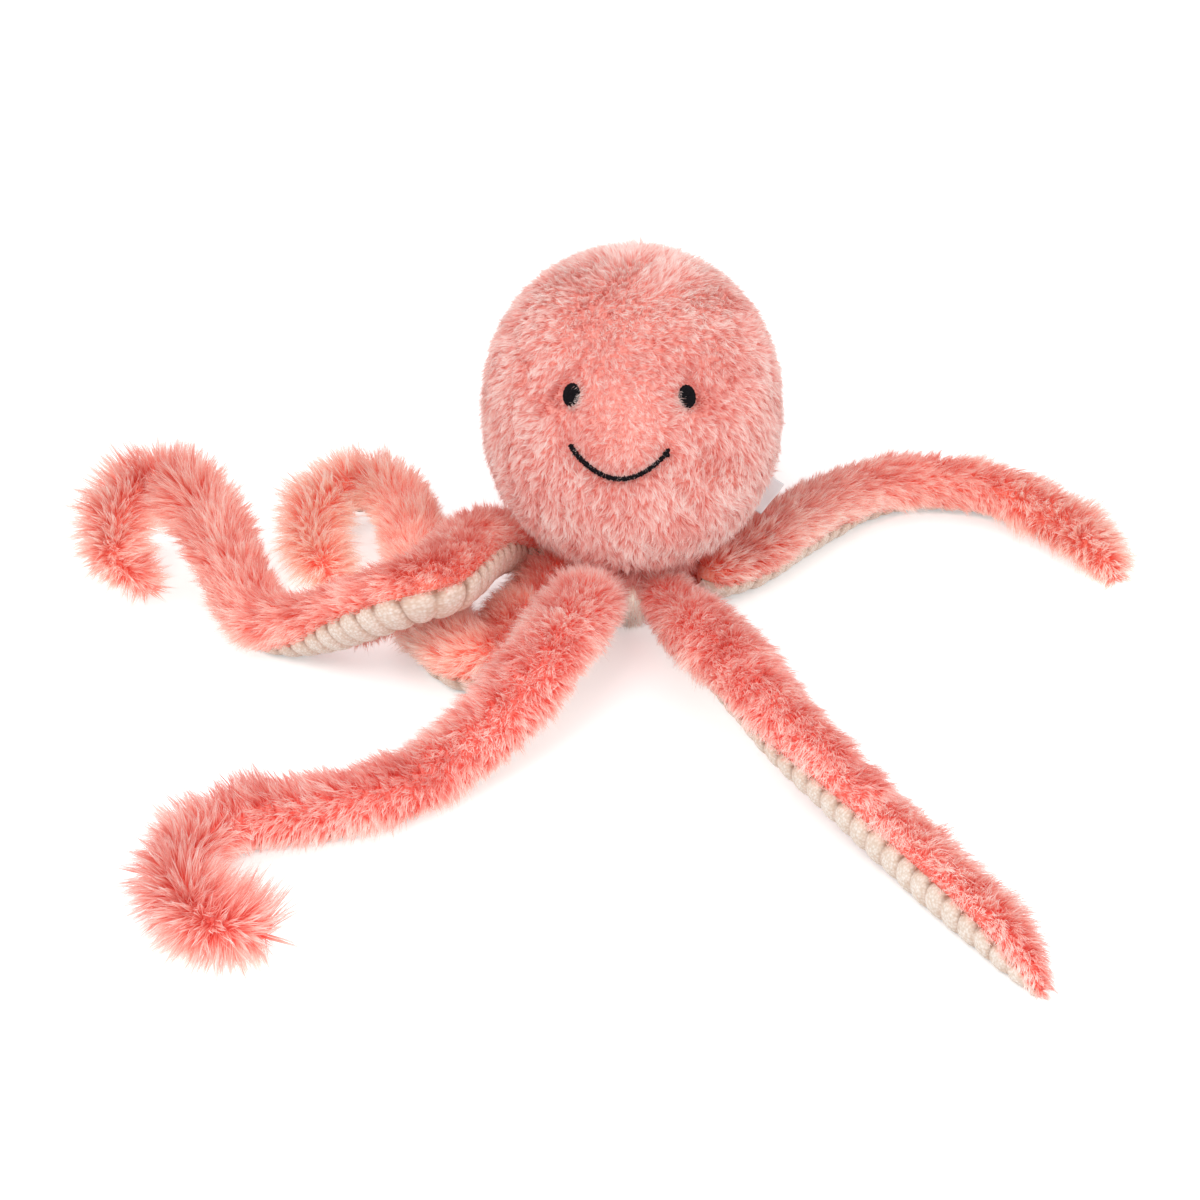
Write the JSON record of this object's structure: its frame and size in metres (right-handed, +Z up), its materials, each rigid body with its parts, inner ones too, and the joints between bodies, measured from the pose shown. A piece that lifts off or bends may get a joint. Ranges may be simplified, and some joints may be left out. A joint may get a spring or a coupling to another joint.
{
  "type": "plush octopus",
  "caption": "Soft plush octopus with a round furry head, embroidered face and long curling tentacles with ribbed corduroy undersides.",
  "frame": {"origin": "on the floor under the middle of the round base panel", "axes": "+Z up out of the base, -Y out of the face towards the viewer, +X to the viewer's right"},
  "size_m": [0.5681, 0.6903, 0.1823],
  "materials": {
    "coral_fur": "matte",
    "cream_corduroy": "matte",
    "black_thread": "satin",
    "white_ribbon": "satin",
    "white_filling": "matte",
    "bag_cloth": "matte"
  },
  "bodies": {
    "head": {"head_front_skin": "coral_fur", "head_back_skin": "coral_fur", "head_filling": "white_filling", "bean_bag": "bag_cloth", "base_panel": "cream_corduroy", "eye_left": "black_thread", "eye_right": "black_thread", "mouth_stitching": "black_thread"},
    "front_right_tentacle": {"front_right_tentacle_fur": "coral_fur", "front_right_tentacle_cord": "cream_corduroy", "front_right_tentacle_filling": "white_filling"},
    "front_left_tentacle": {"front_left_tentacle_fur": "coral_fur", "front_left_tentacle_cord": "cream_corduroy", "front_left_tentacle_filling": "white_filling"},
    "left_front_tentacle": {"left_front_tentacle_fur": "coral_fur", "left_front_tentacle_cord": "cream_corduroy", "left_front_tentacle_filling": "white_filling"},
    "left_tentacle": {"left_tentacle_fur": "coral_fur", "left_tentacle_cord": "cream_corduroy", "left_tentacle_filling": "white_filling"},
    "back_left_tentacle": {"back_left_tentacle_fur": "coral_fur", "back_left_tentacle_cord": "cream_corduroy", "back_left_tentacle_filling": "white_filling"},
    "back_tentacle": {"back_tentacle_fur": "coral_fur", "back_tentacle_cord": "cream_corduroy", "back_tentacle_filling": "white_filling"},
    "back_right_tentacle": {"back_right_tentacle_fur": "coral_fur", "back_right_tentacle_cord": "cream_corduroy", "back_right_tentacle_filling": "white_filling"},
    "right_tentacle": {"right_tentacle_fur": "coral_fur", "right_tentacle_cord": "cream_corduroy", "right_tentacle_filling": "white_filling"},
    "label": {"side_label": "white_ribbon"}
  },
  "joints": [
    {"name": "front_right_lift", "type": "hinge", "parent": "head", "child": "front_right_tentacle", "pos_m": [0.01884, -0.04664, 0.018], "axis": [-0.891, -0.454, 0], "range_deg": [-75, 40]},
    {"name": "front_left_lift", "type": "hinge", "parent": "head", "child": "front_left_tentacle", "pos_m": [-0.02046, -0.04595, 0.018], "axis": [-0.8191, 0.5736, 0], "range_deg": [0, 25]},
    {"name": "left_front_lift", "type": "hinge", "parent": "head", "child": "left_front_tentacle", "pos_m": [-0.04356, -0.02515, 0.018], "axis": [0.1736, 0.9848, 0], "range_deg": [-40, 0]},
    {"name": "left_lift", "type": "hinge", "parent": "head", "child": "left_tentacle", "pos_m": [-0.0492, 0.01046, 0.018], "axis": [0.2588, 0.9659, 0], "range_deg": [0, 20]},
    {"name": "back_left_lift", "type": "hinge", "parent": "head", "child": "back_left_tentacle", "pos_m": [-0.02813, 0.0417, 0.018], "axis": [0.9925, 0.1219, 0], "range_deg": [-75, 40]},
    {"name": "back_lift", "type": "hinge", "parent": "head", "child": "back_tentacle", "pos_m": [0.00873, 0.04954, 0.018], "axis": [0.9998, -0.0174, 0], "range_deg": [-75, 40]},
    {"name": "back_right_lift", "type": "hinge", "parent": "head", "child": "back_right_tentacle", "pos_m": [0.04266, 0.02665, 0.018], "axis": [0.9962, 0.0872, 0], "range_deg": [-45, 40]},
    {"name": "right_lift", "type": "hinge", "parent": "head", "child": "right_tentacle", "pos_m": [0.04784, -0.01554, 0.018], "axis": [0.2588, -0.9659, 0], "range_deg": [-60, 20]},
    {"name": "label_flap", "type": "hinge", "parent": "head", "child": "label", "pos_m": [0.06827, 0.00475, 0.05933], "axis": [-0.5572, 0, -0.8304], "range_deg": [-60, 60]}
  ]
}
